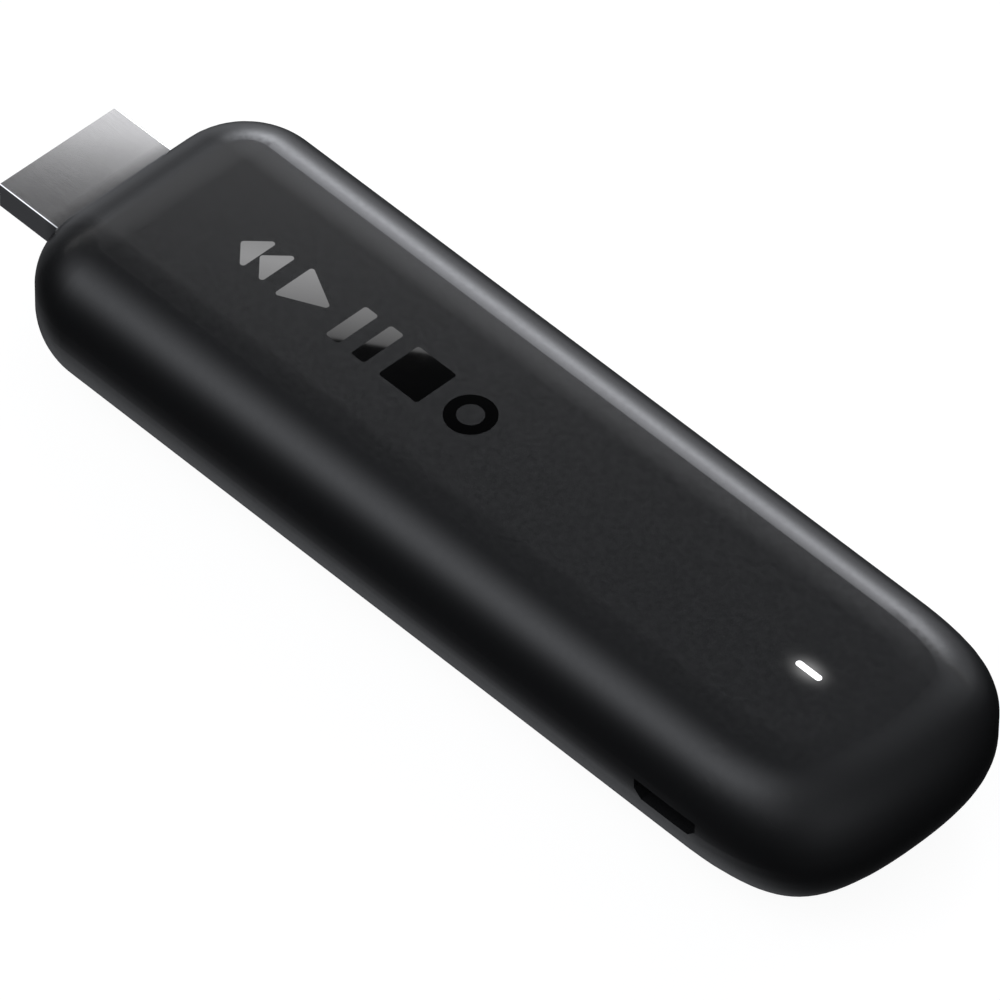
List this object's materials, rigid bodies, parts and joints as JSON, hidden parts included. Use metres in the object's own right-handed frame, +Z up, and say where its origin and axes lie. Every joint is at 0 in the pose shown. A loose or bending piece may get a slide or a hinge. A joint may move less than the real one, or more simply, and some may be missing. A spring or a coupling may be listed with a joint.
{
  "type": "streaming media stick",
  "caption": "streaming media stick with a fixed video plug at one end, a micro power socket in one side, a status light on top and its board, shields and heat plates inside",
  "frame": {"origin": "centre of the underside of the whole stick, plug included: the middle of its bounding box, at the surface it rests on", "axes": "+X along the stick from the video plug's open end to the status light's end, +Y towards the plain long side away from the power socket, +Z up out of the marked top"},
  "size_m": [0.1074, 0.0302, 0.015],
  "materials": {
    "housing_plastic": "satin-matte moulded black with a fine grain",
    "mark_gloss": "polished black inlay",
    "clear_guide": "clear polycarbonate, lit from below",
    "led_resin": "phosphor resin",
    "plug_steel": "satin nickel-plated steel",
    "moulded_black": "glass-filled black moulding",
    "contact_gold": "gold-plated spring contacts",
    "board_green": "solder mask over copper tracks",
    "chip_resin": "dark moulded package",
    "tinned_steel": "tin-plated sheet",
    "heat_aluminium": "blasted aluminium",
    "thermal_pad": "soft silicone pad",
    "screw_steel": "dark zinc-plated steel",
    "ceramic_tan": "fired ceramic body",
    "ferrite": "sintered ferrite",
    "tantalum_body": "moulded capacitor body",
    "copper_foil": "copper on film",
    "foam_black": "closed-cell foam",
    "lead_jacket": "smooth jacket"
  },
  "bodies": {
    "root": {"top_housing": "housing_plastic", "underside_cover": "housing_plastic", "glossy_mark": "mark_gloss", "light_guide": "clear_guide", "light_shroud": "foam_black", "led_emitter": "led_resin", "video_plug_shell": "plug_steel", "video_plug_block": "moulded_black", "video_contacts_upper": "contact_gold", "video_contacts_lower": "contact_gold", "power_socket_shell": "plug_steel", "power_socket_tongue": "moulded_black", "power_socket_contacts": "contact_gold", "main_board": "board_green", "board_screws": "screw_steel", "processor": "chip_resin", "memory_chips": "chip_resin", "storage_chip": "chip_resin", "power_manager": "chip_resin", "video_level_shifter": "chip_resin", "power_inductors": "ferrite", "clock_crystal": "tinned_steel", "capacitors": "ceramic_tan", "resistors": "ferrite", "filter_chokes": "ferrite", "bulk_capacitors": "tantalum_body", "upper_shield_frame": "tinned_steel", "upper_shield_lid": "tinned_steel", "lower_shield_frame": "tinned_steel", "lower_shield_lid": "tinned_steel", "processor_thermal_pad": "thermal_pad", "upper_thermal_pad": "thermal_pad", "storage_thermal_pad": "thermal_pad", "lower_thermal_pad": "thermal_pad", "upper_heat_plate": "heat_aluminium", "lower_heat_plate": "heat_aluminium", "radio_board": "board_green", "radio_shield": "tinned_steel", "antenna_connector": "contact_gold", "antenna_lead": "lead_jacket", "wifi_antenna": "copper_foil", "antenna_adhesive": "foam_black"}
  },
  "joints": []
}
